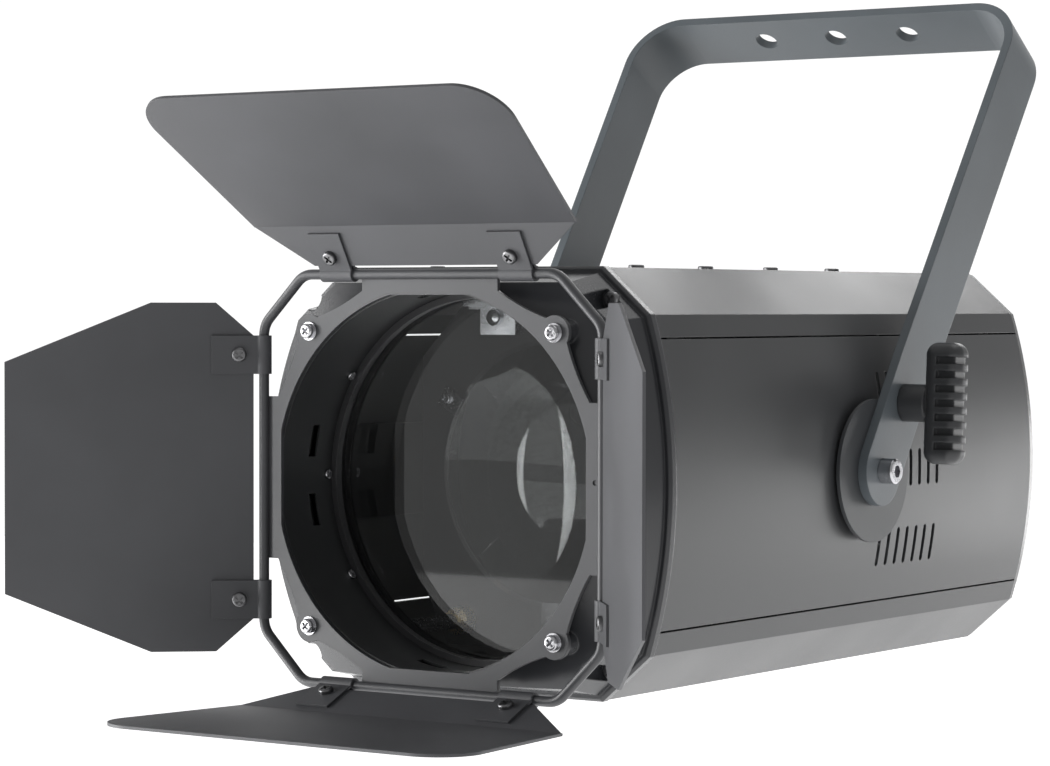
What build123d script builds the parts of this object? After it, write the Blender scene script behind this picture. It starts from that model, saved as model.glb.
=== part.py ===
"""Zoom follow spot with barn doors, hung from a flat-bar yoke.

The lamp is laid out about its optical axis: x is across, z is up, the beam leaves towards -y, and
y = 0 is the front face of the barn-door plate. save() moves every piece so that the yoke's middle
hole, where the fixture hangs, is the origin. All sizes are millimetres.
"""
import math
import os

from build123d import *

os.makedirs("parts", exist_ok=True)

# Housing section: flat top and bottom, sloped corners, bowed sides.
TOP_HALF_WIDTH = 73.25
HALF_HEIGHT = 103.3
SIDE_HALF_WIDTH = 99.3
SIDE_HALF_HEIGHT = 80.7
SIDE_BOW = 12.5
CORNER_TURN = math.degrees(math.atan2(HALF_HEIGHT - SIDE_HALF_HEIGHT, SIDE_HALF_WIDTH - TOP_HALF_WIDTH))
SIDE_RADIUS = (SIDE_HALF_HEIGHT**2 + SIDE_BOW**2) / (2 * SIDE_BOW)

# Housing along the beam.
LIP_FRONT = 40.0
LIP_REAR = 44.2
SHELL_FRONT = 44.5
SHELL_REAR = 421.0
SHELL_WALL = 1.8
SEAM_HEIGHT = 69.5
SEAM_GAP = 0.9
INNER_GAP = 0.4

# Barn-door frame.
ROD_HALF_SPAN = 100.0
ROD_CORNER = 75.0
ROD_RADIUS = 2.5
ROD_Y = -1.0
ROD_BEND_RADIUS = 12.0
PLATE_THICKNESS = 2.0
ARM_HALF_WIDTH = 40.0
APERTURE_RADIUS = 93.0
APERTURE_FLAT = 90.0
CORNER_SCREW = 72.3

# Leaves: outline points are (half width along the hinge, distance from the hinge).
LEAF_THICKNESS = 1.5
SIDE_LEAF = [(70.0, 5.2), (86.2, 23.7), (86.2, 55.7), (57.0, 127.0)]
WIDE_FLANGE = [(65.5, 5.2), (94.4, 27.5)]
WIDE_SHEET_END = (106.3, 128.5)
WIDE_FOLD = 24.1
WIDE_CORNER_RADIUS = 22.0
CLIP_WIDTH = 19.0
CLIP_GAUGE = 1.2
CLIP_CLEARANCE = 0.07

# Optics.
TUBE_INNER = 92.0
TUBE_WALL = 1.2
GLASS_FRONT = 47.0
GLASS_THICKNESS = 4.0
CARRIAGE_FRONT = 110.0
CARRIAGE_GAUGE = 2.5
LENS_RADIUS = 68.0
LENS_CURVE = 125.0
LENS_EDGE = 3.0
GUIDE_ROD = (57.0, -77.0)
GUIDE_ROD_RADIUS = 4.0
LEAD_SCREW = (-4.0, 79.0)
LEAD_SCREW_RADIUS = 4.0
RUNNING_GAP = 0.06
FRONT_BULKHEAD = 54.0
REAR_BULKHEAD = 262.0
BULKHEAD_GAUGE = 2.0

# Yoke and tilt pivot.
PIVOT_Y = 232.0
YOKE_LEAN = 34.6
YOKE_BAR = 5.0
YOKE_WIDTH = 36.0
YOKE_LEG_OUTER = 120.5
YOKE_TOP_OUTER = 125.5
YOKE_STRAIGHT = 62.0
YOKE_HEIGHT = 295.0
YOKE_BEND = 30.0
HANG_HOLE_RADIUS = 6.5
HANG_HOLE_PITCH = 46.0
PIVOT_BOLT_RADIUS = 4.0
DISC_RADIUS = 37.0
CLAMP_REACH = 42.0
CLAMP_BAR_TURN = 3.5

M4_HOLE = 2.15
REAR_RIM_WIDTH = 13.0
RAIL_X = 96.0
RAIL_GAUGE = 2.0
RAIL_HALF_HEIGHT = 24.0
BACK = SHELL_REAR - 2.2


# ---------------------------------------------------------------- building blocks

def block(x, y, z):
    """Box between three pairs of limits."""
    size = [high - low for low, high in (x, y, z)]
    centre = [(high + low) / 2 for low, high in (x, y, z)]
    return Pos(*centre) * Box(*size)


def slab(sketch, y0, y1):
    """Flat outline drawn in x and z, given its depth from y0 to y1."""
    return extrude(Pos(0, y1, 0) * (Plane.XZ * sketch), y1 - y0)


def bar_y(x, z, radius, y0, y1):
    """Round bar along the beam."""
    return slab(Pos(x, z) * Circle(radius), y0, y1)


def bar_x(y, z, radius, x0, x1):
    """Round bar across the lamp."""
    return extrude(Pos(x0, 0, 0) * (Plane.YZ * Pos(y, z) * Circle(radius)), x1 - x0)


def mirrored(shape):
    """The shape and its mirror image on the other side of the lamp."""
    return [shape, mirror(shape, Plane.YZ)]


def section(inset=0.0):
    """Housing section moved inwards by inset: straight top and corners, bowed sides."""
    turn = math.radians(CORNER_TURN)
    top_x = TOP_HALF_WIDTH - inset * math.tan(turn / 2)
    top_z = HALF_HEIGHT - inset
    side_x = SIDE_HALF_WIDTH - inset
    side_z = SIDE_HALF_HEIGHT - inset * math.tan((math.pi / 2 - turn) / 2)
    bow = SIDE_BOW
    edges = [
        Line((-top_x, top_z), (top_x, top_z)),
        Line((top_x, top_z), (side_x, side_z)),
        ThreePointArc((side_x, side_z), (side_x + bow, 0), (side_x, -side_z)),
        Line((side_x, -side_z), (top_x, -top_z)),
        Line((top_x, -top_z), (-top_x, -top_z)),
        Line((-top_x, -top_z), (-side_x, -side_z)),
        ThreePointArc((-side_x, -side_z), (-side_x - bow, 0), (-side_x, side_z)),
        Line((-side_x, side_z), (-top_x, top_z)),
    ]
    return make_face(Wire(edges))


def taper(inset0, y0, inset1, y1):
    """Solid between two housing sections."""
    faces = [Pos(0, y, 0) * (Plane.XZ * section(inset)) for inset, y in ((inset0, y0), (inset1, y1))]
    return loft(faces, ruled=True)


def side_surface(z):
    """Distance of the bowed side from the axis at height z."""
    return SIDE_HALF_WIDTH + SIDE_BOW - SIDE_RADIUS + math.sqrt(SIDE_RADIUS**2 - z**2)


def pan_screw(head_radius, head_height, shank_radius, length):
    """Cross-recess screw along -z, with the underside of its head at the origin."""
    head = extrude(Circle(head_radius), head_height)
    head = fillet(head.edges().group_by(Axis.Z)[-1], head_height * 0.45)
    slot = (head_radius * 1.25, head_radius * 0.3, head_height * 1.2)
    for turn in (45, 135):
        head -= Pos(0, 0, head_height) * Rot(Z=turn) * Box(*slot)
    return head + extrude(Circle(shank_radius), -length)


def washer(radius, hole, thickness):
    """Flat washer lying on z = 0."""
    return extrude(Circle(radius) - Circle(hole), thickness)


def facing_front(x, y, z):
    """Place a screw with its head towards -y."""
    return Pos(x, y, z) * Rot(X=90)


def facing_back(x, y, z):
    """Place a screw with its head towards +y."""
    return Pos(x, y, z) * Rot(X=-90)


def four_corners(x, z):
    """The four places at plus and minus x and z."""
    return [(sx * x, sz * z) for sx in (-1, 1) for sz in (-1, 1)]


def to_yoke(shape):
    """Lean a shape, built upright about the pivot, back with the yoke."""
    return Pos(0, PIVOT_Y, 0) * Rot(X=-YOKE_LEAN) * shape


HANG_POINT = to_yoke(Pos(0, 0, YOKE_HEIGHT)).position


def save(name, *shapes):
    """Write one named node, with the yoke's middle hole as the origin."""
    solids = [solid for shape in shapes for solid in shape.solids()]
    moved = [Pos(*(-HANG_POINT)) * solid for solid in solids]
    export_step(moved[0] if len(moved) == 1 else Compound(children=moved), f"parts/{name}.step")
    print(name, len(moved))


# ---------------------------------------------------------------- yoke and tilt

def yoke():
    """Flat bar bent to a U, upright about the pivot."""
    low = -YOKE_WIDTH / 2
    top = YOKE_HEIGHT
    inner_leg = YOKE_LEG_OUTER - YOKE_BAR
    inner_top = YOKE_TOP_OUTER - YOKE_BAR
    outside = [(YOKE_LEG_OUTER, low), (YOKE_LEG_OUTER, YOKE_STRAIGHT), (YOKE_TOP_OUTER, top)]
    inside = [(inner_top, top - YOKE_BAR), (inner_leg, YOKE_STRAIGHT), (inner_leg, low)]
    bar = make_face(Polyline(*[(-x, z) for x, z in outside], *outside[::-1], *inside[::-1],
                             *[(-x, z) for x, z in inside], close=True))
    bar = fillet([v for v in bar.vertices() if v.Y > top - 1], YOKE_BEND)
    inner_bends = [v for v in bar.vertices() if abs(v.Y - top + YOKE_BAR) < 0.01 and abs(v.X) > 100]
    bar = fillet(inner_bends, YOKE_BEND - YOKE_BAR)
    reach = YOKE_TOP_OUTER + 10
    solid = slab(bar, low, -low)
    solid &= block((-reach, reach), (low, -low), (0, top)) + bar_x(0, 0, -low, -reach, reach)
    solid -= bar_x(0, 0, PIVOT_BOLT_RADIUS + RUNNING_GAP, -reach, reach)
    solid -= bar_x(0, CLAMP_REACH, PIVOT_BOLT_RADIUS + RUNNING_GAP, 0, reach)
    for place in (-1, 0, 1):
        solid -= Pos(place * HANG_HOLE_PITCH, 0, top) * Cylinder(HANG_HOLE_RADIUS, 4 * YOKE_BAR)
    return to_yoke(solid)


def tilt_clamp_handle():
    """Ribbed T-bar on a round stem."""
    stem_radius, bar_x0, bar_x1 = 9.8, YOKE_LEG_OUTER + 13, YOKE_LEG_OUTER + 34
    half_length, half_depth, groove_pitch, grooves = 31.5, 8.0, 7.4, 7
    bar = block((bar_x0, bar_x1), (-half_depth, half_depth), (-half_length, half_length))
    bar = fillet(bar.edges(), 6.5)
    core = block((bar_x0 - 1, bar_x1 - 3), (2.4 - half_depth, half_depth - 2.4), (-40, 40))
    for index in range(grooves):
        z = (index - (grooves - 1) / 2) * groove_pitch
        groove = block((bar_x0 + 8, bar_x1 + 1), (-half_depth - 1, half_depth + 1), (z - 1.9, z + 1.9)) - core
        bar -= groove
    bar = Rot(X=-CLAMP_BAR_TURN + YOKE_LEAN) * bar
    stem = bar_x(0, 0, stem_radius, YOKE_LEG_OUTER + 0.1, bar_x0 + 2)
    screw = bar_x(0, 0, PIVOT_BOLT_RADIUS, YOKE_LEG_OUTER - 8.2, YOKE_LEG_OUTER + 4)
    return to_yoke(Pos(0, 0, CLAMP_REACH) * (bar + stem + screw))


def pivot_bolts():
    """Socket-head bolts through the yoke legs into the chassis."""
    head_radius, head_height, socket, socket_depth = 6.5, 8.0, 3.45, 4.5
    base = YOKE_LEG_OUTER + 0.1
    head = bar_x(PIVOT_Y, 0, head_radius, base, base + head_height)
    head = chamfer(head.edges().sort_by(Axis.X)[-1], 0.8)
    hexagon = Plane.YZ * Pos(PIVOT_Y, 0) * RegularPolygon(socket, 6)
    head -= extrude(Pos(base + head_height, 0, 0) * hexagon, -socket_depth)
    return mirrored(head + bar_x(PIVOT_Y, 0, PIVOT_BOLT_RADIUS, RAIL_X + 1, base))


def friction_discs():
    """Discs that the yoke legs press on, each with a hub against the housing side."""
    hub_radius, thickness = 12.0, 2.0
    face = YOKE_LEG_OUTER - YOKE_BAR - 0.05
    disc = bar_x(PIVOT_Y, 0, DISC_RADIUS, face - thickness, face)
    disc += bar_x(PIVOT_Y, 0, hub_radius, side_surface(0) + 0.05, face)
    return mirrored(disc - bar_x(PIVOT_Y, 0, PIVOT_BOLT_RADIUS + 0.15, 90, face + 1))


save("yoke", yoke())
save("tilt_clamp_handle", tilt_clamp_handle())
save("pivot_bolts", *pivot_bolts())
save("friction_discs", *friction_discs())


# ---------------------------------------------------------------- housing shells

COVER_SCREW_X = 60.0
COVER_SCREW_Y = [90.0 + 65.0 * index for index in range(4)]
BEZEL_SCREW = (82.7, 88.0)
BEZEL_CONE = 122.0
BEZEL_NOSE = 95.0
REAR_SCREW = (84.0, 70.0)
VENT_ROWS = (-41.0, 0.0, 41.0)
VENT_LENGTH = 19.5
VENT_WIDTH = 3.2
VENT_Y = [249.0 + 9.85 * index for index in range(7)]


def housing_ring():
    """Hollow housing section between bezel and rear frame."""
    return slab(section() - section(SHELL_WALL), SHELL_FRONT, SHELL_REAR)


def side_panel():
    """Bowed right-hand side with three rows of upright vent slots."""
    limit = SEAM_HEIGHT - SEAM_GAP / 2
    panel = housing_ring() & block((80, 130), (0, 500), (-limit, limit))
    for z in VENT_ROWS:
        for y in VENT_Y:
            slot = Pos(y, z) * SlotOverall(VENT_LENGTH, VENT_WIDTH, rotation=90)
            panel -= extrude(Pos(90, 0, 0) * (Plane.YZ * slot), 30)
    return panel - bar_x(PIVOT_Y, 0, PIVOT_BOLT_RADIUS + 0.3, 90, 130)


def top_cover():
    """Upper shell: flat top, sloped corners and the sides down to the seam."""
    cover = housing_ring() & block((-130, 130), (0, 500), (SEAM_HEIGHT + SEAM_GAP / 2, 110))
    for x in (-COVER_SCREW_X, COVER_SCREW_X):
        for y in COVER_SCREW_Y:
            cover -= Pos(x, y, HALF_HEIGHT) * Cylinder(M4_HOLE, 10)
    return cover


def cover_screws():
    """Pan-head screws down the edges of the top and bottom covers."""
    screw = pan_screw(3.9, 1.7, 2.0, 5.6)
    rows = [(x, y) for x in (-COVER_SCREW_X, COVER_SCREW_X) for y in COVER_SCREW_Y]
    top = [Pos(x, y, HALF_HEIGHT) * screw for x, y in rows]
    return top + [Pos(x, y, -HALF_HEIGHT) * Rot(X=180) * screw for x, y in rows]


def front_bezel():
    """Cast collar: raised lip, sloped facets, coned front, round bore, four bosses and four wells."""
    inset0, inset1, edge, nose, well_floor = 7.3, 2.6, 16.0, 5.0, 34.0
    body = taper(0.8, LIP_FRONT - 1.5, -0.5, LIP_FRONT) + slab(section(-0.5), LIP_FRONT, LIP_REAR)
    body += taper(inset0, edge, inset1, LIP_FRONT - 1.5)
    cone = Pos(0, (nose + edge) / 2 + 1, 0) * Rot(X=90) * Cone(BEZEL_CONE, BEZEL_NOSE, edge + 2 - nose)
    body += slab(section(inset0), nose, edge + 0.01) & cone
    hollow = taper(inset0 + 3, edge + 5, inset1 + 2.6, LIP_REAR + 1)
    for x, z in four_corners(*BEZEL_SCREW):
        hollow -= bar_y(x, z, 7.5, edge, LIP_REAR)
    body -= hollow
    for x, z in four_corners(CORNER_SCREW, CORNER_SCREW):
        boss = Pos(0, edge, 0) * (Plane.XZ * Pos(x, z) * Circle(7.0))
        body += extrude(boss, edge - PLATE_THICKNESS, taper=6)
        body -= bar_y(x, z, 2.1, 0, edge + 4.0)
    for x, z in four_corners(*BEZEL_SCREW):
        body -= bar_y(x, z, 5.6, 0, well_floor)
        body -= bar_y(x, z, M4_HOLE, 0, 60)
    return body - bar_y(0, 0, TUBE_INNER + TUBE_WALL + 0.3, 0, 60)


def bezel_screws():
    """Screws at the bottom of the bezel's wells."""
    screw = pan_screw(3.8, 2.6, 2.0, 24.0)
    return [facing_front(x, 34.0, z) * screw for x, z in four_corners(*BEZEL_SCREW)]


def rear_frame():
    """Rear rim, rounded towards the back."""
    rim = taper(0.3, SHELL_REAR + 0.2, 0.9, 426.0)
    rim += taper(0.9, 426.0, 3.0, 429.5)
    rim += taper(3.0, 429.5, 6.5, 431.5)
    rim -= slab(section(REAR_RIM_WIDTH), 420, 440)
    for x, z in four_corners(*REAR_SCREW):
        rim -= bar_y(x, z, M4_HOLE, 400, 440)
        rim -= bar_y(x, z, 4.6, 427.5, 440)
    return rim


def rear_screws():
    """Screws through the rear frame and panel."""
    screw = pan_screw(3.8, 2.6, 2.0, 12.0)
    return [facing_back(x, 427.5, z) * screw for x, z in four_corners(*REAR_SCREW)]


right_side = side_panel()
save("right_side_panel", right_side)
save("left_side_panel", mirror(right_side, Plane.YZ))
upper = top_cover()
save("top_cover", upper)
save("bottom_cover", mirror(upper, Plane.XY))
save("front_bezel", front_bezel())
save("rear_frame", rear_frame())


# ---------------------------------------------------------------- chassis

BUTTON_X = [22.0, 36.0, 50.0, 64.0]
BUTTON_Z = -50.0
BUTTON_RADIUS = 4.5
DISPLAY_CENTRE = (-26.0, -50.0)
DISPLAY_SIZE = (58.0, 22.0)
FAN_Z = 20.0
FAN_SIZE = 92.0
FAN_BORE = 43.5
SOCKET_Z = -76.0
INLET_X = -45.0
FUSE_X = -14.0
DATA_X = (20.0, 50.0)
MOTOR_SIZE = 42.0
EYE_X = 66.0
EYE_Z = 62.0


def front_bulkhead():
    """Sheet frame behind the bezel: light aperture, screw and rod holes."""
    sheet = section(SHELL_WALL + INNER_GAP) - Circle(89.0)
    plate = slab(sheet, FRONT_BULKHEAD, FRONT_BULKHEAD + BULKHEAD_GAUGE)
    for x, z in four_corners(*BEZEL_SCREW):
        plate -= bar_y(x, z, M4_HOLE, 50, 60)
    return plate


def rear_bulkhead():
    """Sheet frame that holds the lamp engine, the guide rods and the zoom motor."""
    sheet = section(SHELL_WALL + INNER_GAP) - RectangleRounded(84, 84, 6)
    plate = slab(sheet, REAR_BULKHEAD, REAR_BULKHEAD + BULKHEAD_GAUGE)
    x, z = LEAD_SCREW
    return plate - bar_y(x, z, 11.5, 250, 270)


def chassis_side_plates():
    """Side rails from bulkhead to rear panel, each with a threaded pivot boss."""
    width = (RAIL_X, RAIL_X + RAIL_GAUGE)
    height = (-RAIL_HALF_HEIGHT, RAIL_HALF_HEIGHT)
    front = block(width, (FRONT_BULKHEAD + BULKHEAD_GAUGE + 0.1, REAR_BULKHEAD - 0.1), height)
    back = block(width, (REAR_BULKHEAD + BULKHEAD_GAUGE + 0.1, BACK - 0.2), height)
    front += bar_x(PIVOT_Y, 0, 14.0, RAIL_X, side_surface(14.0) - SHELL_WALL - 0.5)
    front -= bar_x(PIVOT_Y, 0, PIVOT_BOLT_RADIUS + 0.1, 90, 120)
    return mirrored(front) + mirrored(back)


def rear_panel():
    """Back sheet with openings for the fan, display, buttons and sockets."""
    sheet = section(SHELL_WALL + INNER_GAP) - Pos(0, FAN_Z) * Circle(FAN_BORE)
    sheet -= Pos(*DISPLAY_CENTRE) * Rectangle(DISPLAY_SIZE[0] + 0.4, DISPLAY_SIZE[1] + 0.4)
    for x in BUTTON_X:
        sheet -= Pos(x, BUTTON_Z) * Circle(BUTTON_RADIUS + 0.2)
    sheet -= Pos(INLET_X, SOCKET_Z) * Rectangle(28.4, 20.4)
    sheet -= Pos(FUSE_X, SOCKET_Z) * Circle(7.2)
    for x in DATA_X:
        sheet -= Pos(x, SOCKET_Z) * Circle(11.7)
    for x, z in four_corners(*REAR_SCREW):
        sheet -= Pos(x, z) * Circle(M4_HOLE)
    for x, z in fan_screw_places():
        sheet -= Pos(x, z) * Circle(M4_HOLE)
    for x in (EYE_X - 10, EYE_X + 10):
        sheet -= Pos(x, EYE_Z) * Circle(M4_HOLE)
    return slab(sheet, BACK, BACK + 2.0)


def fan_screw_places():
    """Fan screws on the 82.5 mm square of a 92 mm fan."""
    return [(x, FAN_Z + z) for x, z in four_corners(41.25, 41.25)]


save("front_bulkhead", front_bulkhead())
save("rear_bulkhead", rear_bulkhead())
save("chassis_side_plates", *chassis_side_plates())
save("rear_panel", rear_panel())


# ---------------------------------------------------------------- light tube and front glass

RING_SCREW_ANGLES = (-123, -90, -57, 57, 90, 123)
TAB_BEND = 28
RING_SCREW_Y = 39.5


def light_tube():
    """Short black tube behind the barn-door plate, with punched slots in pairs and their bent tabs."""
    outer = TUBE_INNER + TUBE_WALL
    tube = slab(Circle(outer) - Circle(TUBE_INNER), PLATE_THICKNESS + 0.1, FRONT_BULKHEAD - 0.1)
    tabs = []
    for quarter in range(4):
        for side in (-10.8, 10.8):
            turn = Rot(Y=quarter * 90 + side)
            tube -= turn * block((-8, 8), (24, 30), (TUBE_INNER - 3, outer + 2))
            tab = Pos(0, 23.8, TUBE_INNER + 0.6) * Rot(X=TAB_BEND) * Pos(0, 2.8, 0) * Box(15.4, 6.0, 0.8)
            tabs.append(turn * tab)
    for tab in tabs:
        tube += tab
    for angle in RING_SCREW_ANGLES:
        tube -= Rot(Y=angle) * Pos(0, RING_SCREW_Y, TUBE_INNER) * Cylinder(1.6, 6)
    return tube


def glass_ring():
    """Ring that holds the front glass."""
    return slab(Circle(TUBE_INNER - 0.15) - Circle(88.5), GLASS_FRONT - 4.5, GLASS_FRONT - 0.1)


def glass_ring_screws():
    """Small screws through the tube wall just in front of the glass ring."""
    screw = Pos(0, RING_SCREW_Y, TUBE_INNER - 0.1) * Rot(X=180) * pan_screw(2.6, 1.6, 1.5, 1.5)
    return [Rot(Y=angle) * screw for angle in RING_SCREW_ANGLES]


def front_glass():
    """Flat clear disc."""
    return slab(Circle(TUBE_INNER - 0.3), GLASS_FRONT, GLASS_FRONT + GLASS_THICKNESS)


save("light_tube", light_tube())
save("glass_ring", glass_ring())
save("glass_ring_screws", *glass_ring_screws())
save("front_glass", front_glass())


# ---------------------------------------------------------------- barn doors

def plate_quarter():
    """Corner of the plate: half of two arms joined by waisted edges to the ear round a screw."""
    ear, tip, shoulder = CORNER_SCREW, ROD_HALF_SPAN - 1.4, 92.0
    edges = [
        Line((0, 0), (0, tip)),
        Line((0, tip), (ARM_HALF_WIDTH, tip)),
        Line((ARM_HALF_WIDTH, tip), (ARM_HALF_WIDTH, shoulder)),
        ThreePointArc((ARM_HALF_WIDTH, shoulder), (54.2, 84.3), (ear - 4.5, ear + 6.9)),
        ThreePointArc((ear - 4.5, ear + 6.9), (ear + 5.8, ear + 5.8), (ear + 6.9, ear - 4.5)),
        ThreePointArc((ear + 6.9, ear - 4.5), (84.3, 54.2), (shoulder, ARM_HALF_WIDTH)),
        Line((shoulder, ARM_HALF_WIDTH), (tip, ARM_HALF_WIDTH)),
        Line((tip, ARM_HALF_WIDTH), (tip, 0)),
        Line((tip, 0), (0, 0)),
    ]
    return make_face(Wire(edges))


def barndoor_plate():
    """Sheet with a flatted round aperture and four arms that reach the rod frame."""
    outline = Sketch() + [Rot(Z=90 * quarter) * plate_quarter() for quarter in range(4)]
    aperture = Circle(APERTURE_RADIUS) & Rectangle(2 * APERTURE_FLAT, 2 * APERTURE_FLAT)
    plate = slab(outline - aperture, 0, PLATE_THICKNESS)
    for x, z in four_corners(CORNER_SCREW, CORNER_SCREW):
        plate -= bar_y(x, z, M4_HOLE, -1, 5)
    return plate - bar_y(95.0, 3.0, 1.2, -1, 0.6)


def barndoor_rod():
    """Round rod bent to a square with cut corners; the leaves turn on it."""
    points = []
    for sx, sz in ((1, 1), (1, -1), (-1, -1), (-1, 1)):
        corner = [(sx * ROD_CORNER, sz * ROD_HALF_SPAN), (sx * ROD_HALF_SPAN, sz * ROD_CORNER)]
        points += corner if sx == sz else corner[::-1]
    outline = make_face(Polyline(*points, close=True))
    outline = fillet(outline.vertices(), ROD_BEND_RADIUS)
    path = Pos(0, ROD_Y, 0) * (Plane.XZ * outline).face().outer_wire()
    profile = Plane(origin=path @ 0, z_dir=path % 0) * Circle(ROD_RADIUS)
    return sweep(profile, path)


def corner_screws():
    """Bright screws and washers at the plate's corners."""
    screw = pan_screw(3.7, 2.8, 2.0, 17.0)
    ring = washer(4.6, M4_HOLE, 0.8)
    pieces = []
    for x, z in four_corners(CORNER_SCREW, CORNER_SCREW):
        pieces.append(facing_front(x, -0.8, z) * screw)
        pieces.append(facing_front(x, 0, z) * ring)
    return pieces


def side_leaf():
    """Flat leaf, upright from its hinge line."""
    outline = [(w, r) for w, r in SIDE_LEAF] + [(-w, r) for w, r in SIDE_LEAF[::-1]]
    half = LEAF_THICKNESS / 2
    return slab(make_face(Polyline(*outline, close=True)), -half, half)


def wide_leaf():
    """Leaf with a hinge flange and a wider sheet folded forward from it."""
    half = LEAF_THICKNESS / 2
    (w0, r0), (w1, r1) = WIDE_FLANGE
    w2, r2 = WIDE_SHEET_END
    flange = make_face(Polyline((-w0, r0), (-w1, r1), (w1, r1), (w0, r0), close=True))
    sheet = make_face(Polyline((-w1, 0), (-w2, r2 - r1), (w2, r2 - r1), (w1, 0), close=True))
    sheet = fillet([v for v in sheet.vertices() if v.Y > 1], WIDE_CORNER_RADIUS)
    folded = Pos(0, 0, r1) * Rot(X=WIDE_FOLD) * slab(sheet, -half, half)
    bend = Pos(0, 0, r1) * Rot(Y=90) * Cylinder(half, 2 * w1)
    return slab(flange, -half, half) + bend + folded


def leaf_clips(places, reach, screw_reach):
    """Folded straps, each wrapped round the rod with both ends on the leaf."""
    inner = ROD_RADIUS + CLIP_CLEARANCE
    half = LEAF_THICKNESS / 2 + 0.03
    profile = Circle(inner + CLIP_GAUGE) - Circle(inner)
    for side in (-1, 1):
        strap_end = Rectangle(CLIP_GAUGE, reach - inner)
        profile += Pos(side * (half + CLIP_GAUGE / 2), (reach + inner) / 2) * strap_end
    profile -= Rectangle(2 * half, 4 * reach)
    wrap = Circle(inner + CLIP_GAUGE) & Pos(0, -reach) * Rectangle(20, 2 * reach)
    profile = profile + wrap - Circle(inner)
    clips = []
    for w in places:
        strap = extrude(Pos(w - CLIP_WIDTH / 2, 0, 0) * (Plane.YZ * profile), CLIP_WIDTH)
        clips.append(strap - Pos(w, 0, screw_reach) * Rot(X=90) * Cylinder(M4_HOLE, 20))
    return clips


def clip_screws(places, screw_reach):
    """Screw through each clip and leaf with a nut behind."""
    face = LEAF_THICKNESS / 2 + 0.03 + CLIP_GAUGE
    screw = pan_screw(3.6, 2.4, 2.0, 2 * face + 3.4)
    nut = extrude(RegularPolygon(3.9, 6) - Circle(M4_HOLE), 2.6)
    pieces = []
    for w in places:
        pieces.append(facing_front(w, -face, screw_reach) * screw)
        pieces.append(facing_back(w, face, screw_reach) * nut)
    return pieces


def leaf_set(name, sheet, places, reach, screw_reach, placing):
    """Write a leaf, its clips and its screws at their place on the rod."""
    for w in places:
        sheet -= Pos(w, 0, screw_reach) * Rot(X=90) * Cylinder(M4_HOLE, 20)
    save(f"{name}_leaf", placing * sheet)
    save(f"{name}_leaf_clips", *[placing * clip for clip in leaf_clips(places, reach, screw_reach)])
    save(f"{name}_leaf_screws", *[placing * piece for piece in clip_screws(places, screw_reach)])


TOP_OPEN = 30.6
BOTTOM_OPEN = 66.5
LEFT_OPEN = 41.0
RIGHT_OPEN = 49.0
WIDE_CLIPS = (-53.0, 53.0)
SIDE_CLIPS = (-60.5, 60.5)

save("barndoor_plate", barndoor_plate())
save("barndoor_rod", barndoor_rod())
save("corner_screws", *corner_screws())
leaf_set("top", wide_leaf(), WIDE_CLIPS, 23.5, 10.6,
         Pos(0, ROD_Y, ROD_HALF_SPAN) * Rot(X=TOP_OPEN))
leaf_set("bottom", wide_leaf(), WIDE_CLIPS, 23.5, 10.6,
         Pos(0, ROD_Y, -ROD_HALF_SPAN) * Rot(X=-BOTTOM_OPEN) * Rot(Y=180))
leaf_set("right", side_leaf(), SIDE_CLIPS, 26.0, 12.4,
         Pos(ROD_HALF_SPAN, ROD_Y, 0) * Rot(Z=-RIGHT_OPEN) * Rot(Y=90))
leaf_set("left", side_leaf(), SIDE_CLIPS, 26.0, 12.4,
         Pos(-ROD_HALF_SPAN, ROD_Y, 0) * Rot(Z=LEFT_OPEN) * Rot(Y=-90))


# ---------------------------------------------------------------- zoom optics

CARRIAGE_BACK = CARRIAGE_FRONT + CARRIAGE_GAUGE
NUT_RADIUS = 6.5
BUSH_RADIUS = 7.0
LENS_CLIP_ANGLES = (60, 180, 300)


def carriage_plate():
    """Sheet that carries the lens on two rods and the screw nut."""
    sheet = make_face(Polyline((-84, -58), (-84, 58), (-52, 92), (52, 92), (84, 58), (84, -58),
                               (68, -90), (-68, -90), close=True)) - Circle(LENS_RADIUS - 3.5)
    for side in (-1, 1):
        sheet -= Pos(side * GUIDE_ROD[0], GUIDE_ROD[1]) * Circle(BUSH_RADIUS + 0.05)
    sheet -= Pos(*LEAD_SCREW) * Circle(NUT_RADIUS + 0.05)
    plate = slab(sheet, CARRIAGE_FRONT, CARRIAGE_BACK)
    for angle in LENS_CLIP_ANGLES:
        plate -= Rot(Y=angle) * Pos(0, CARRIAGE_FRONT, LENS_RADIUS + 6) * Rot(X=90) * Cylinder(1.6, 20)
    return plate


def lens():
    """Plano-convex lens with its flat face on the carriage."""
    flat = CARRIAGE_FRONT - 0.1
    sag = LENS_CURVE - math.sqrt(LENS_CURVE**2 - LENS_RADIUS**2)
    front = flat - LENS_EDGE - sag
    cylinder = bar_y(0, 0, LENS_RADIUS, front - 1, flat)
    return cylinder & (Pos(0, front + LENS_CURVE, 0) * Sphere(LENS_CURVE))


def lens_clips():
    """Stepped clips and screws that hold the lens by its edge."""
    pieces = []
    screw = pan_screw(3.0, 1.8, 1.5, 9.0)
    edge = CARRIAGE_FRONT - 0.1 - LENS_EDGE
    for angle in LENS_CLIP_ANGLES:
        clip = block((-5, 5), (edge - 3.3, edge - 2.1), (LENS_RADIUS - 3, LENS_RADIUS + 10))
        clip += block((-5, 5), (edge - 3.3, CARRIAGE_FRONT - 0.1), (LENS_RADIUS + 2.2, LENS_RADIUS + 10))
        clip -= Pos(0, edge, LENS_RADIUS + 6) * Rot(X=90) * Cylinder(1.6, 30)
        pieces.append(Rot(Y=angle) * clip)
        pieces.append(Rot(Y=angle) * facing_front(0, edge - 3.3, LENS_RADIUS + 6) * screw)
    return pieces


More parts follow.
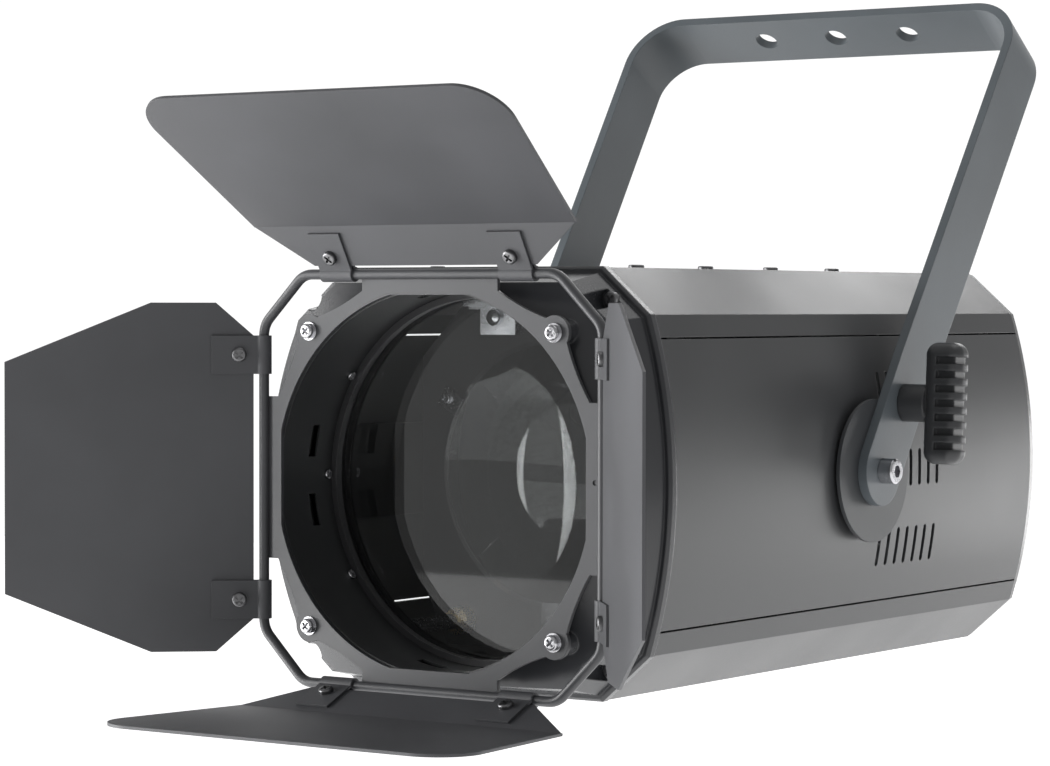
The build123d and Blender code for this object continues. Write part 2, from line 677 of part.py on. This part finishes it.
def carriage_bushings():
    """Flanged bushings that slide on the guide rods."""
    pieces = []
    for side in (-1, 1):
        x, z = side * GUIDE_ROD[0], GUIDE_ROD[1]
        bush = bar_y(x, z, BUSH_RADIUS, CARRIAGE_FRONT - 8, CARRIAGE_BACK + 10)
        bush += bar_y(x, z, BUSH_RADIUS + 2.5, CARRIAGE_BACK + 0.05, CARRIAGE_BACK + 2)
        pieces.append(bush - bar_y(x, z, GUIDE_ROD_RADIUS + RUNNING_GAP, 0, 300))
    return pieces


def screw_nut():
    """Flanged nut that the lead screw drives."""
    x, z = LEAD_SCREW
    nut = bar_y(x, z, NUT_RADIUS, CARRIAGE_FRONT - 3, CARRIAGE_BACK + 9)
    nut += bar_y(x, z, NUT_RADIUS + 3.5, CARRIAGE_BACK + 0.05, CARRIAGE_BACK + 3)
    return nut - bar_y(x, z, LEAD_SCREW_RADIUS + RUNNING_GAP, 0, 300)


def lead_screw():
    """Round screw from the front bearing to the motor."""
    x, z = LEAD_SCREW
    screw = bar_y(x, z, LEAD_SCREW_RADIUS, 59.0, REAR_BULKHEAD + 6)
    return chamfer(screw.edges().sort_by(Axis.Y)[0], 0.8)


def lead_screw_bearing():
    """Bracket that hangs from the front bulkhead and steadies the screw's end."""
    x, z = LEAD_SCREW
    back = FRONT_BULKHEAD + BULKHEAD_GAUGE
    bracket = block((x - 16, x + 12), (back + 0.1, back + 2.1), (z + 9, 100.5))
    bracket += block((x - 16, x + 12), (back + 0.1, back + 12), (z - 8.5, z + 9))
    bracket -= block((x - 17, x - 9), (back, back + 14), (z - 9, z + 4))
    bracket -= block((x - 20, x + 20), (back - 1, back + 5), (z - 10, z + 5.5))
    return bracket - bar_y(x, z, LEAD_SCREW_RADIUS + RUNNING_GAP, 50, 80)


def guide_rods():
    """Two ground rods below the optical axis."""
    start, end = FRONT_BULKHEAD + BULKHEAD_GAUGE + 0.1, REAR_BULKHEAD - 0.1
    return [bar_y(side * GUIDE_ROD[0], GUIDE_ROD[1], GUIDE_ROD_RADIUS, start, end) for side in (-1, 1)]


def zoom_motor():
    """Square stepper motor behind the rear bulkhead."""
    x, z = LEAD_SCREW
    half, front = MOTOR_SIZE / 2, REAR_BULKHEAD + BULKHEAD_GAUGE + 0.1
    body = block((x - half, x + half), (front, front + 34), (z - half, z + half))
    body = chamfer(body.edges().filter_by(Axis.Y), 3.5)
    body += bar_y(x, z, 11.0, front - 2, front + 1)
    return body - bar_y(x, z, LEAD_SCREW_RADIUS + RUNNING_GAP, front - 3, REAR_BULKHEAD + 6.3)


save("carriage_plate", carriage_plate())
save("lens", lens())
save("lens_clips", *lens_clips())
save("carriage_bushings", *carriage_bushings())
save("screw_nut", screw_nut())
save("lead_screw", lead_screw())
save("lead_screw_bearing", lead_screw_bearing())
save("guide_rods", *guide_rods())
save("zoom_motor", zoom_motor())


# ---------------------------------------------------------------- lamp engine and cooling

SINK_FRONT = REAR_BULKHEAD + BULKHEAD_GAUGE + 4.0
SINK_HALF = 55.0
REFLECTOR_DEPTH = 50.0


def led_module():
    """Square board with a round light-emitting surface, sunk in the reflector's neck."""
    board = block((-25, 25), (SINK_FRONT - 2.2, SINK_FRONT - 0.1), (-25, 25))
    board = chamfer(board.edges().filter_by(Axis.Y), 4.0)
    return board + bar_y(0, 0, 15.0, SINK_FRONT - 3.0, SINK_FRONT - 1)


def led_reflector():
    """Deep conical cup round the light-emitting surface."""
    back, flare = SINK_FRONT - 2.4, -30
    outer = extrude(Pos(0, back, 0) * (Plane.XZ * Circle(19.0)), REFLECTOR_DEPTH, taper=flare)
    inner = extrude(Pos(0, back, 0) * (Plane.XZ * Circle(17.2)), REFLECTOR_DEPTH + 1, taper=flare)
    return outer - inner


def heat_sink():
    """Finned block; the fins stand upright."""
    sink = block((-SINK_HALF, SINK_HALF), (SINK_FRONT, SINK_FRONT + 8), (-SINK_HALF, SINK_HALF))
    fins = 15
    for index in range(fins):
        x = (index / (fins - 1) * 2 - 1) * (SINK_HALF - 1)
        sink += block((x - 1, x + 1), (SINK_FRONT + 7, SINK_FRONT + 72), (-SINK_HALF, SINK_HALF))
    return sink


def fan_frame():
    """Square fan housing with a round duct and a three-armed motor seat."""
    half, back = FAN_SIZE / 2, BACK - 0.1
    frame = block((-half, half), (back - 25, back), (FAN_Z - half, FAN_Z + half))
    frame = fillet(frame.edges().filter_by(Axis.Y), 5.0)
    frame -= bar_y(0, FAN_Z, FAN_BORE, 300, 500)
    for angle in (30, 150, 270):
        arm = block((-2.5, 2.5), (back - 25, back - 22), (12, FAN_BORE + 1))
        frame += Pos(0, 0, FAN_Z) * Rot(Y=angle) * arm
    frame += bar_y(0, FAN_Z, 17.0, back - 25, back - 22)
    for x, z in fan_screw_places():
        frame -= bar_y(x, z, M4_HOLE, 300, 500)
    return frame - bar_y(0, FAN_Z, 2.0 + RUNNING_GAP, 300, 500)


def fan_rotor():
    """Hub with seven pitched blades."""
    back = BACK - 0.1
    rotor = bar_y(0, FAN_Z, 18.0, back - 20.5, back - 4)
    for index in range(7):
        blade = Pos(0, back - 12.5, 30) * Rot(Z=38) * Box(1.6, 20, 24.6)
        rotor += Pos(0, 0, FAN_Z) * Rot(Y=index * 360 / 7) * blade
    return rotor + bar_y(0, FAN_Z, 2.0, back - 24.5, back - 4)


def fan_guard():
    """Round steel grille over the fan, on four tabs with screws."""
    front = BACK + 2.1
    guard = slab(Circle(12) - Circle(10.4), front, front + 1.6)
    for radius in (20, 28, 36, 44):
        guard += slab(Circle(radius) - Circle(radius - 1.6), front, front + 1.6)
    for angle in (0, 45, 90, 135):
        guard += Rot(Y=angle) * block((-45 if angle % 90 == 0 else -57, 45 if angle % 90 == 0 else 57),
                                      (front, front + 1.6), (-0.8, 0.8))
    for x, z in four_corners(41.25, 41.25):
        guard += bar_y(x, z, 4.2, front, front + 1.6)
    for x, z in four_corners(41.25, 41.25):
        guard -= bar_y(x, z, M4_HOLE, 300, 500)
    return Pos(0, 0, FAN_Z) * (guard & bar_y(0, 0, 62.6, 300, 500))


def fan_screws():
    """Screws through the guard, the panel and the fan."""
    screw = pan_screw(3.8, 2.4, 2.0, 14.0)
    return [facing_back(x, BACK + 3.8, z) * screw for x, z in fan_screw_places()]


save("led_module", led_module())
save("led_reflector", led_reflector())
save("heat_sink", heat_sink())
save("fan_frame", fan_frame())
save("fan_rotor", fan_rotor())
save("fan_guard", fan_guard())
save("housing_screws", *cover_screws(), *bezel_screws(), *rear_screws(), *fan_screws())


# ---------------------------------------------------------------- electrics and back panel

def power_supply():
    """Closed tin on the bottom cover with a lid step and end flanges."""
    floor = SHELL_WALL + INNER_GAP - HALF_HEIGHT
    tin = block((-54, 54), (278, 384), (floor, floor + 27))
    tin += block((-52, 52), (281, 381), (floor + 26, floor + 29))
    return tin + block((-54, 54), (270, 392), (floor, floor + 1.5))


def control_board():
    """Circuit board behind the display and the buttons."""
    board = block((-58, 72), (BACK - 12, BACK - 10.4), (-63, -37))
    for x in (-40, -12, 12, 56):
        board += block((x - 5, x + 5), (BACK - 17, BACK - 11), (-56, -44))
    for x in BUTTON_X:
        board += block((x - 3, x + 3), (BACK - 11, BACK - 7), (BUTTON_Z - 3, BUTTON_Z + 3))
        board += bar_y(x, BUTTON_Z, 1.7, BACK - 8, BACK - 5.2)
    return board


def display():
    """Small screen module, flush with the back panel."""
    (x, z), (w, h) = DISPLAY_CENTRE, DISPLAY_SIZE
    return block((x - w / 2, x + w / 2), (BACK - 10.2, BACK + 2.4), (z - h / 2, z + h / 2))


def menu_button(x):
    """Round push button with a retaining collar behind the panel."""
    cap = bar_y(x, BUTTON_Z, BUTTON_RADIUS, BACK - 2, BACK + 5)
    cap = fillet(cap.edges().sort_by(Axis.Y)[-1], 1.0)
    return cap + bar_y(x, BUTTON_Z, BUTTON_RADIUS + 1, BACK - 3.5, BACK - 0.2)


def power_inlet():
    """Rectangular mains inlet with a flange and three pins."""
    x, z = INLET_X, SOCKET_Z
    body = block((x - 14, x + 14), (BACK - 20, BACK + 2.1), (z - 10, z + 10))
    body += block((x - 17, x + 17), (BACK + 2.1, BACK + 4.1), (z - 12, z + 12))
    well = block((x - 11.5, x + 11.5), (BACK - 12, BACK + 5), (z - 8, z + 8))
    body -= chamfer(well.edges().filter_by(Axis.Y).group_by(Axis.Z)[-1], 3.5)
    for px, pz in ((-7, -2), (7, -2), (0, 2.5)):
        body += block((x + px - 1, x + px + 1), (BACK - 13, BACK - 0.5), (z + pz - 2, z + pz + 2))
    return body


def fuse_holder():
    """Round fuse holder with a slotted cap."""
    holder = bar_y(FUSE_X, SOCKET_Z, 7.0, BACK - 25, BACK + 2.1)
    holder += bar_y(FUSE_X, SOCKET_Z, 8.5, BACK + 2.1, BACK + 6)
    return holder - block((FUSE_X - 5, FUSE_X + 5), (BACK + 4.8, BACK + 7), (SOCKET_Z - 0.8, SOCKET_Z + 0.8))


def data_socket(x, pins):
    """Round data connector with a flange: pins in one, holes in the other."""
    z, front = SOCKET_Z, BACK + 2.1
    body = bar_y(x, z, 11.5, BACK - 16, front)
    body += block((x - 12.8, x + 12.8), (front, front + 2), (z - 12.5, z + 12.5))
    body -= bar_y(x, z, 9.4, BACK - 6, front + 3)
    if not pins:
        body += bar_y(x, z, 7.6, BACK - 7, front + 1)
    for angle in (0, 120, 240):
        px = x + 4.2 * math.sin(math.radians(angle))
        pz = z + 4.2 * math.cos(math.radians(angle))
        contact = bar_y(px, pz, 1.2, BACK - 7, front + 1.2)
        body = body + contact if pins else body - contact
    return body


def safety_eye():
    """Bent steel loop on the back panel for a safety cable."""
    front = BACK + 2.1
    foot = block((EYE_X - 16, EYE_X + 16), (front, front + 2.5), (EYE_Z - 7, EYE_Z + 7))
    loop = block((EYE_X - 1.5, EYE_X + 1.5), (front, front + 24), (EYE_Z - 7, EYE_Z + 7))
    loop = fillet(loop.edges().filter_by(Axis.X).group_by(Axis.Y)[-1], 6.5)
    eye = foot + loop - bar_x(front + 15, EYE_Z, 5.0, 0, 100)
    for x in (EYE_X - 10, EYE_X + 10):
        eye -= bar_y(x, EYE_Z, M4_HOLE, 300, 500)
    return eye


save("power_supply", power_supply())
save("control_board", control_board())
save("display", display())
for number, x in enumerate(BUTTON_X, 1):
    save(f"menu_button_{number}", menu_button(x))
save("power_inlet", power_inlet())
save("fuse_holder", fuse_holder())
save("data_sockets", data_socket(DATA_X[0], True), data_socket(DATA_X[1], False))
save("safety_eye", safety_eye())
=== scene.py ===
import math

import bpy
import numpy as np
from mathutils import Euler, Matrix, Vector


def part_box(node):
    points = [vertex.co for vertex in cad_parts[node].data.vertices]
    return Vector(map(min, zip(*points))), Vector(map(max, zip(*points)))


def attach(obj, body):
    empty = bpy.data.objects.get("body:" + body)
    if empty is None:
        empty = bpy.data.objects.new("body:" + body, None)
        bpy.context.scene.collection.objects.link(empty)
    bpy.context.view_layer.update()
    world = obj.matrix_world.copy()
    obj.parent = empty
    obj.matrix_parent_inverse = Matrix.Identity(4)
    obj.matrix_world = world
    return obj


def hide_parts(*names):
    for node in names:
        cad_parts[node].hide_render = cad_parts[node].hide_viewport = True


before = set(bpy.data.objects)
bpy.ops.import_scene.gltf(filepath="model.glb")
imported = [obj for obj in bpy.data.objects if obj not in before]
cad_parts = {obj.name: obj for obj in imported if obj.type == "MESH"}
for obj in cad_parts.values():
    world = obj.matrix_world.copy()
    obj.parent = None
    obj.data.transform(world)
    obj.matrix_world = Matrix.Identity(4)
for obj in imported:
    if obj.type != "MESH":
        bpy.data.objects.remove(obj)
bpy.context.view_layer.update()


# ---- Camera ----
# Stands in front of the lamp and to its right, a little below the optical axis, with a long lens.

camera_place = Vector((0.9447, -1.6956, -0.1576))
camera_azimuth, camera_elevation, camera_roll = 34.447, 1.332, -0.075
camera_lens, camera_sensor = 115.04, 36.0

camera_data = bpy.data.cameras.new("camera")
camera_data.lens = camera_lens
camera_data.sensor_width = camera_sensor
camera_data.clip_start, camera_data.clip_end = 0.05, 60.0
camera = bpy.data.objects.new("camera", camera_data)
bpy.context.collection.objects.link(camera)
turn = Euler((math.radians(90 - camera_elevation), math.radians(camera_roll), math.radians(camera_azimuth)))
camera.matrix_world = turn.to_matrix().to_4x4()
camera.location = camera_place
bpy.context.scene.camera = camera


# ---- Studio ----
# A pale floor well below the hanging lamp, a surround that brightens from the front to a white
# background, and soft boxes over the lamp, at its left and behind its right side.

floor_height, floor_size, floor_glow = -0.95, 14.0, 0.72
front_light, back_light = 0.42, 1.05
fade_start, fade_end = 0.4, 0.97


def flat_grid(name, points):
    """Mesh of a grid of points, shaped rows x columns x 3: each cell is one four-sided face."""
    rows, columns, _ = points.shape
    mesh = bpy.data.meshes.new(name)
    corner = np.arange(rows * columns).reshape(rows, columns)
    faces = np.stack([corner[:-1, :-1], corner[:-1, 1:], corner[1:, 1:], corner[1:, :-1]], axis=-1)
    mesh.from_pydata(points.reshape(-1, 3).tolist(), [], faces.reshape(-1, 4).tolist())
    mesh.update()
    piece = bpy.data.objects.new(name, mesh)
    bpy.context.collection.objects.link(piece)
    return piece


span = np.linspace(-floor_size / 2, floor_size / 2, 9)
floor_x, floor_y = np.meshgrid(span, span)
floor = flat_grid("floor", np.dstack([floor_x, floor_y, np.full_like(floor_x, floor_height)]))
floor_paint = bpy.data.materials.new("floor_paint")
floor_paint.use_nodes = True
floor_shader = floor_paint.node_tree.nodes["Principled BSDF"]
floor_shader.inputs["Base Color"].default_value = (0.93, 0.93, 0.93, 1.0)
floor_shader.inputs["Roughness"].default_value = 0.9
floor_shader.inputs["Emission Color"].default_value = (1.0, 1.0, 1.0, 1.0)
floor_shader.inputs["Emission Strength"].default_value = floor_glow
floor.data.materials.append(floor_paint)

world = bpy.data.worlds.new("surround")
bpy.context.scene.world = world
world.use_nodes = True
heading = world.node_tree.nodes.new("ShaderNodeTexCoord")
along_view = world.node_tree.nodes.new("ShaderNodeVectorMath")
along_view.operation = "DOT_PRODUCT"
along_view.inputs[1].default_value = (-math.sin(math.radians(camera_azimuth)),
                                      math.cos(math.radians(camera_azimuth)), 0.0)
fade = world.node_tree.nodes.new("ShaderNodeMapRange")
fade.inputs["From Min"].default_value, fade.inputs["From Max"].default_value = fade_start, fade_end
fade.inputs["To Min"].default_value, fade.inputs["To Max"].default_value = front_light, back_light
world.node_tree.nodes["Background"].inputs["Color"].default_value = (1.0, 1.0, 1.0, 1.0)
world.node_tree.links.new(heading.outputs["Generated"], along_view.inputs[0])
world.node_tree.links.new(along_view.outputs["Value"], fade.inputs["Value"])
world.node_tree.links.new(fade.outputs["Result"], world.node_tree.nodes["Background"].inputs["Strength"])
bpy.context.scene.view_settings.view_transform = "Standard"


def soft_box(name, place, target, width, height, power):
    """Rectangular lamp at place, facing target."""
    lamp = bpy.data.lights.new(name, "AREA")
    lamp.shape = "RECTANGLE"
    lamp.size, lamp.size_y, lamp.energy = width, height, power
    box = bpy.data.objects.new(name, lamp)
    box.location = place
    box.rotation_euler = (Vector(target) - Vector(place)).to_track_quat("-Z", "Y").to_euler()
    bpy.context.collection.objects.link(box)


lamp_middle = (0.0, -0.2, -0.24)
soft_box("top_box", (0.3, 0.2, 1.6), lamp_middle, 1.4, 1.4, 9.0)
soft_box("back_high_box", (-0.7, 2.2, 1.2), lamp_middle, 1.2, 0.8, 16.0)
soft_box("left_box", (-1.5, -1.25, -0.2), lamp_middle, 1.2, 1.4, 48.0)
soft_box("right_back_box", (0.85, 2.7, -0.5), lamp_middle, 0.9, 0.7, 10.0)


# ---- Yoke ----
# Flat steel bar bent to a U, with three holes for a clamp. Powder coated in a cool dark grey: a fine
# orange-peel skin, with the sheared edges rounded in the shading.


class Flow:
    """A value inside a material. Arithmetic on it adds Math nodes."""

    def __init__(self, finish, socket):
        self.finish, self.socket = finish, socket

    def maths(self, operation, first, second):
        return self.finish.node("ShaderNodeMath", {"operation": operation}, {0: first, 1: second})

    def __add__(self, other):
        return self.maths("ADD", self, other)

    def __sub__(self, other):
        return self.maths("SUBTRACT", self, other)

    def __mul__(self, other):
        return self.maths("MULTIPLY", self, other)


class Finish:
    """A surface finish: a Principled shader, constants on its own sockets, and nodes that vary it."""

    def __init__(self, name, **constants):
        self.material = bpy.data.materials.new(name)
        self.material.use_nodes = True
        self.tree = self.material.node_tree
        self.shader = self.tree.nodes["Principled BSDF"]
        for socket, value in constants.items():
            self.shader.inputs[socket.replace("_", " ").title().replace("Ior", "IOR")].default_value = value

    def node(self, kind, settings, values, output=0):
        """Add a node: settings first, then each socket's value or link. Returns one of its outputs."""
        made = self.tree.nodes.new(kind)
        for key, value in settings.items():
            setattr(made, key, value)
        for key, value in values.items():
            if isinstance(value, Flow):
                self.tree.links.new(value.socket, made.inputs[key])
            else:
                made.inputs[key].default_value = value
        return Flow(self, made.outputs[output])

    def place(self):
        """Object coordinates."""
        return self.node("ShaderNodeTexCoord", {}, {}, "Object")

    def noise(self, scale, detail=2.0, place=None):
        """Fractal noise from 0 to 1, with scale bumps to the metre."""
        return self.node("ShaderNodeTexNoise", {}, {"Vector": place or self.place(), "Scale": scale,
                                                    "Detail": detail})

    def between(self, low, high, flow, new_low, new_high):
        """Carry flow from the range low..high to new_low..new_high, held at both ends."""
        return self.node("ShaderNodeMapRange", {}, {0: flow, 1: low, 2: high, 3: new_low, 4: new_high})

    def blend(self, flow, dark, light):
        """Colour from dark to light as flow goes from 0 to 1."""
        return self.node("ShaderNodeMix", {"data_type": "RGBA"}, {0: flow, 6: dark, 7: light}, 2)

    def bump(self, height, depth, radius):
        """Raise the surface by height x depth metres, on edges rounded to radius."""
        rounded = self.node("ShaderNodeBevel", {"samples": 4}, {"Radius": radius})
        return self.node("ShaderNodeBump", {}, {"Height": height, "Distance": depth, "Strength": 0.7,
                                                "Normal": rounded})

    def drive(self, **flows):
        """Feed the shader's sockets from nodes."""
        for socket, flow in flows.items():
            self.tree.links.new(flow.socket, self.shader.inputs[socket.replace("_", " ").title()])
        return self

    def coat(self, *nodes):
        """Give CAD nodes this finish."""
        for node in nodes:
            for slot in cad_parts[node].material_slots:
                slot.material = self.material


def powder_coat(name, colour, roughness, grain, edge_radius):
    """Baked powder: mottled by a few per cent, with a fine peel of the given grain per metre."""
    finish = Finish(name, roughness=roughness)
    patches = finish.noise(14.0, 3.0)
    peel = finish.noise(grain, 3.0)
    light = tuple(channel * 1.22 for channel in colour) + (1.0,)
    dark = tuple(channel * 0.86 for channel in colour) + (1.0,)
    rough = finish.between(0.3, 0.7, patches, roughness - 0.035, roughness + 0.035)
    return finish.drive(base_color=finish.blend(finish.between(0.25, 0.75, patches, 0.0, 1.0), dark, light),
                        roughness=rough + (peel - 0.5) * 0.08,
                        normal=finish.bump(peel, 0.00006, edge_radius))


powder_coat("yoke_powder", (0.075, 0.087, 0.096), 0.42, 1100.0, 0.0007).coat("yoke")


# ---- Friction discs and pivot bolts ----
# Pressed discs in the housing's black, and M8 socket-head bolts of bright zinc-plated steel.

powder_coat("disc_powder", (0.03, 0.032, 0.035), 0.42, 1300.0, 0.0005).coat("friction_discs")


def plated_steel(name, colour, roughness, scratch):
    """Bare or plated metal with a cloudy tone and fine turning scratches."""
    finish = Finish(name, metallic=1.0)
    clouds = finish.noise(40.0, 2.0)
    streaks = finish.noise(scratch, 3.0)
    light = tuple(colour) + (1.0,)
    dark = tuple(channel * 0.86 for channel in colour) + (1.0,)
    return finish.drive(base_color=finish.blend(clouds, dark, light),
                        roughness=finish.between(0.25, 0.75, streaks, roughness * 0.7, roughness * 1.4),
                        normal=finish.bump(streaks, 0.000002, 0.0003))


bright_steel = plated_steel("bright_zinc", (0.55, 0.55, 0.57), 0.2, 900.0)
bright_steel.coat("pivot_bolts", "corner_screws", "glass_ring_screws", "safety_eye")


# ---- Tilt clamp handle ----
# Glass-filled nylon moulding over a zinc-plated screw: a dull black with a fine spark-eroded grain.


def moulded_plastic(name, colour, roughness, grain, depth, edge_radius=0.0006):
    """Moulded plastic with an eroded texture of the given grain per metre and rounded edges."""
    finish = Finish(name, roughness=roughness)
    pits = finish.noise(grain, 2.0)
    sheen = finish.noise(25.0, 2.0)
    base = tuple(colour) + (1.0,)
    worn = tuple(channel * 1.35 for channel in colour) + (1.0,)
    return finish.drive(base_color=finish.blend(sheen, base, worn),
                        roughness=finish.between(0.3, 0.7, pits, roughness - 0.06, roughness + 0.08),
                        normal=finish.bump(pits, depth, edge_radius))


moulded_plastic("clamp_nylon", (0.026, 0.027, 0.029), 0.36, 1500.0, 0.00008, 0.0018).coat("tilt_clamp_handle")


# ---- Housing shells ----
# Folded sheet-aluminium covers and bowed vented sides, powder coated satin black with a very fine peel.

powder_coat("housing_powder", (0.03, 0.031, 0.033), 0.34, 1500.0, 0.0005).coat(
    "left_side_panel", "right_side_panel", "top_cover", "bottom_cover", "rear_panel")


# ---- Bezel and rear rim ----
# Die-cast collars at both ends, painted a smooth satin black that shows the casting's soft edges.

powder_coat("casting_paint", (0.026, 0.027, 0.03), 0.24, 1000.0, 0.0012).coat("front_bezel", "rear_frame")


# ---- Black screws ----
# Pan-head machine screws and nuts with a black oxide finish, a little shinier than the paint.

plated_steel("black_oxide", (0.2, 0.2, 0.205), 0.36, 900.0).coat(
    "housing_screws", "top_leaf_screws", "bottom_leaf_screws", "left_leaf_screws", "right_leaf_screws")


# ---- Barn doors ----
# Sheet-steel leaves on folded clips that grip a bent rod; the rod is butt-welded to itself and to
# the plate. All are coated in a matt, slightly rough black that looks dark grey in the light.

powder_coat("leaf_powder", (0.058, 0.059, 0.064), 0.55, 2000.0, 0.0004).coat(
    "top_leaf", "bottom_leaf", "left_leaf", "right_leaf", "top_leaf_clips", "bottom_leaf_clips",
    "left_leaf_clips", "right_leaf_clips")
powder_coat("barndoor_frame_powder", (0.045, 0.046, 0.05), 0.42, 1600.0, 0.0004).coat(
    "barndoor_plate", "barndoor_rod")


# ---- Light tube, glass ring and bulkheads ----
# Spun and pressed steel in a smooth dull black that keeps stray light down. The parts deeper inside are a
# near-black, darker than the tube. On the carriage plate and the chassis side plates this is painted shade
# for the dark inside of the housing.

powder_coat("tube_paint", (0.02, 0.021, 0.022), 0.34, 1400.0, 0.0003).coat("light_tube")
# Near-black inside parts: partly their own black paint, partly painted shade standing in for the shade deep
# inside the housing.
powder_coat("inside_black_and_painted_shade", (0.008, 0.008, 0.009), 0.5, 1400.0, 0.0003).coat(
    "front_bulkhead", "rear_bulkhead", "carriage_plate", "chassis_side_plates")
powder_coat("ring_paint", (0.03, 0.03, 0.032), 0.3, 1400.0, 0.0004).coat("glass_ring", "fan_guard")


# ---- Front glass ----
# A flat clear disc: it lets the light straight through and mirrors a little of the room.

pane = Finish("clear_pane")
mirrored = pane.node("ShaderNodeBsdfGlossy", {}, {"Color": (1.0, 1.0, 1.0, 1.0), "Roughness": 0.02})
see_through = pane.node("ShaderNodeBsdfTransparent", {}, {"Color": (0.95, 0.96, 0.96, 1.0)})
glancing = pane.node("ShaderNodeFresnel", {}, {"IOR": 1.46})
both = pane.node("ShaderNodeMixShader", {}, {0: glancing, 1: see_through, 2: mirrored})
pane.tree.links.new(both.socket, pane.tree.nodes["Material Output"].inputs["Surface"])
pane.coat("front_glass")


# ---- Lens ----
# Thick plano-convex optical glass, polished on both faces.

optic = Finish("lens_glass", roughness=0.01, transmission_weight=1.0, ior=1.52,
               base_color=(1.0, 1.0, 1.0, 1.0))
shadow_ray = optic.node("ShaderNodeLightPath", {}, {}, "Is Shadow Ray")
for_lamps = optic.node("ShaderNodeBsdfTransparent", {}, {"Color": (0.9, 0.91, 0.91, 1.0)})
lens_mix = optic.node("ShaderNodeMixShader", {}, {0: shadow_ray, 1: Flow(optic, optic.shader.outputs[0]),
                                                2: for_lamps})
optic.tree.links.new(lens_mix.socket, optic.tree.nodes["Material Output"].inputs["Surface"])
optic.coat("lens")


# ---- Zoom carriage and chassis metal ----
# Zinc-plated rods, clips, bracket and power-supply case; brass bushings and nut; alloy heat sink.

plated_steel("ground_steel", (0.62, 0.62, 0.64), 0.22, 1200.0).coat(
    "guide_rods", "lens_clips", "lead_screw_bearing", "power_supply", "data_sockets")
plated_steel("turned_brass", (0.78, 0.60, 0.30), 0.28, 1200.0).coat("carriage_bushings", "screw_nut")
plated_steel("anodised_alloy", (0.55, 0.56, 0.58), 0.35, 700.0).coat("heat_sink")


# ---- LED reflector ----
# Deep spun aluminium cone round the LED, bright anodised: smooth, with a faint haze that varies.

mirror = Finish("bright_anodised", metallic=1.0)
haze = mirror.noise(18.0, 2.0)
mirror.drive(base_color=mirror.blend(haze, (0.82, 0.83, 0.84, 1.0), (0.9, 0.9, 0.91, 1.0)),
             roughness=mirror.between(0.3, 0.7, haze, 0.12, 0.2))
mirror.coat("led_reflector")


# ---- Lead screw ----
# Four-start trapezoidal screw of ground steel, with a plain tip where the front bracket holds it.

screw_low, screw_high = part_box("lead_screw")
screw_axis = (screw_low + screw_high) / 2
screw_radius = (screw_high.x - screw_low.x) / 2
thread_depth, thread_starts, thread_lead, plain_tip = 0.0007, 4, 0.008, 0.014


def turned_skin(name, along, radius, angle):
    """Surface of revolution about +Y through the screw's axis: radius(along, angle) on a grid whose
    first and last rows shrink to the axis, so that both ends are closed."""
    x = screw_axis.x + radius * np.sin(angle)
    z = screw_axis.z + radius * np.cos(angle)
    return flat_grid(name, np.dstack([x, along, z]))


def threaded_bar():
    """Radius = outside - depth x trapezoid(starts x angle / turn - starts x y / lead): a four-start
    helix, fading to a plain cylinder over the tip."""
    y = np.linspace(screw_low.y, screw_high.y, 620)
    rows = np.concatenate([[y[0]], y, [y[-1]]])
    along, angle = np.meshgrid(rows, np.linspace(0.0, 2 * math.pi, 41), indexing="ij")
    phase = thread_starts * (angle / (2 * math.pi) - along / thread_lead)
    saw = np.abs((phase % 1.0) * 2 - 1)
    trapezoid = np.clip(saw * 2.2 - 0.6, 0.0, 1.0)
    cut = np.clip((along - screw_low.y - plain_tip) / 0.002, 0.0, 1.0)
    radius = screw_radius - thread_depth * trapezoid * cut
    radius[0], radius[-1] = 0.0, 0.0
    return turned_skin("lead_screw_thread", along, radius, angle)


thread = threaded_bar()
thread.data.materials.append(plated_steel("ground_screw_steel", (0.7, 0.7, 0.72), 0.2, 1200.0).material)
thread.data.shade_smooth()
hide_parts("lead_screw")
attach(thread, "zoom_screw")


# ---- Zoom motor, fan and fittings in plastic ----
# Black mouldings: the fan's frame and rotor, the buttons, the mains inlet and the fuse holder.

moulded_plastic("fan_plastic", (0.02, 0.02, 0.021), 0.42, 1800.0, 0.00006).coat(
    "fan_frame", "fan_rotor", "power_inlet", "fuse_holder", "zoom_motor")
moulded_plastic("button_rubber", (0.035, 0.035, 0.037), 0.6, 2200.0, 0.00008).coat(
    "menu_button_1", "menu_button_2", "menu_button_3", "menu_button_4")


# ---- Display and circuit boards ----
# A dark liquid-crystal window behind glossy plastic; green solder mask; the LED's yellow phosphor.

window = Finish("display_window", roughness=0.08, coat_weight=0.6)
pixels = window.node("ShaderNodeTexChecker", {}, {"Vector": window.place(), "Scale": 2400.0}, "Fac")
window.drive(base_color=window.blend(pixels, (0.006, 0.012, 0.02, 1.0), (0.010, 0.018, 0.028, 1.0)),
             roughness=window.between(0.3, 0.7, window.noise(50.0, 2.0), 0.05, 0.12))
window.coat("display")

mask = Finish("solder_mask", roughness=0.35)
tracks = mask.node("ShaderNodeTexBrick", {"offset": 0.37}, {"Vector": mask.place(), "Scale": 160.0,
                                                            "Mortar Size": 0.03}, "Fac")
mask.drive(base_color=mask.blend(tracks, (0.012, 0.09, 0.045, 1.0), (0.03, 0.16, 0.07, 1.0)))
mask.coat("control_board")

phosphor = Finish("led_phosphor", roughness=0.5)
grains = phosphor.noise(900.0, 2.0)
phosphor.drive(base_color=phosphor.blend(grains, (0.80, 0.68, 0.16, 1.0), (0.88, 0.80, 0.30, 1.0)))
phosphor.coat("led_module")
